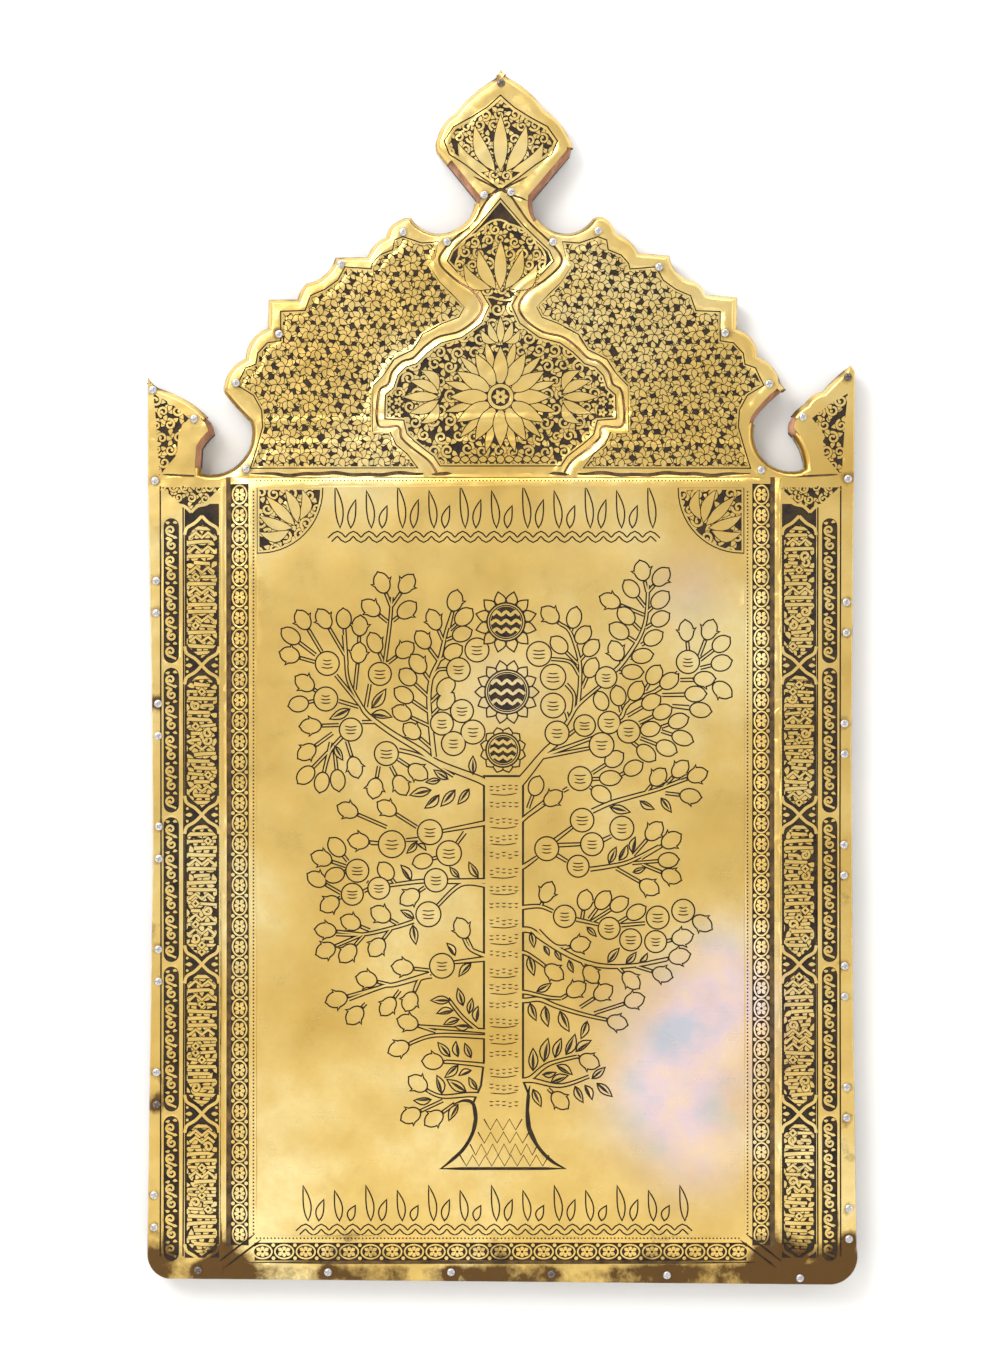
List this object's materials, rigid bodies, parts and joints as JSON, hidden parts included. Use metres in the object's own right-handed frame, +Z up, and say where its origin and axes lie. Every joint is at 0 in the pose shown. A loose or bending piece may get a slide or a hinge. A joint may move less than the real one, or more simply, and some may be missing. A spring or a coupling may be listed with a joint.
{
  "type": "engraved brass wall plaque",
  "caption": "Tall wall plaque: engraved brass sheet folded over a sawn board with a scalloped crest, side ears and a finial.",
  "frame": {"origin": "middle of the flat back, on the wall plane", "axes": "+Z up towards the finial, +Y out of the back into the wall, +X to the right as seen from the front"},
  "size_m": [0.5265, 0.0266, 0.902],
  "materials": {
    "brass": "polished golden sheet with dark engraved lines and brown tarnish",
    "board_wood": "bare reddish sawn wood",
    "backing_wood": "rough sawn, stained blue black",
    "screw_steel": "zinc plated, cross recessed"
  },
  "bodies": {
    "root": {"backing_panel": "backing_wood", "wooden_board": "board_wood", "brass_sheet": "brass", "screw_finial_1": "screw_steel", "screw_finial_2": "screw_steel", "screw_finial_3": "screw_steel", "screw_crest_left_1": "screw_steel", "screw_crest_left_2": "screw_steel", "screw_crest_left_3": "screw_steel", "screw_crest_left_4": "screw_steel", "screw_crest_left_5": "screw_steel", "screw_crest_left_6": "screw_steel", "screw_crest_right_1": "screw_steel", "screw_crest_right_2": "screw_steel", "screw_crest_right_3": "screw_steel", "screw_crest_right_4": "screw_steel", "screw_crest_right_5": "screw_steel", "screw_crest_right_6": "screw_steel", "screw_ear_left_1": "screw_steel", "screw_ear_left_2": "screw_steel", "screw_ear_right_1": "screw_steel", "screw_ear_right_2": "screw_steel", "screw_margin_left_1": "screw_steel", "screw_margin_left_2": "screw_steel", "screw_margin_left_3": "screw_steel", "screw_margin_left_4": "screw_steel", "screw_margin_left_5": "screw_steel", "screw_margin_left_6": "screw_steel", "screw_margin_left_7": "screw_steel", "screw_margin_left_8": "screw_steel", "screw_margin_left_9": "screw_steel", "screw_margin_left_10": "screw_steel", "screw_margin_left_11": "screw_steel", "screw_margin_left_12": "screw_steel", "screw_margin_left_13": "screw_steel", "screw_margin_right_1": "screw_steel", "screw_margin_right_2": "screw_steel", "screw_margin_right_3": "screw_steel", "screw_margin_right_4": "screw_steel", "screw_margin_right_5": "screw_steel", "screw_margin_right_6": "screw_steel", "screw_margin_right_7": "screw_steel", "screw_margin_right_8": "screw_steel", "screw_margin_right_9": "screw_steel", "screw_margin_right_10": "screw_steel", "screw_margin_right_11": "screw_steel", "screw_margin_right_12": "screw_steel", "screw_margin_right_13": "screw_steel", "screw_foot_1": "screw_steel", "screw_foot_2": "screw_steel", "screw_foot_3": "screw_steel", "screw_foot_4": "screw_steel", "screw_foot_5": "screw_steel", "screw_foot_6": "screw_steel"}
  },
  "joints": []
}
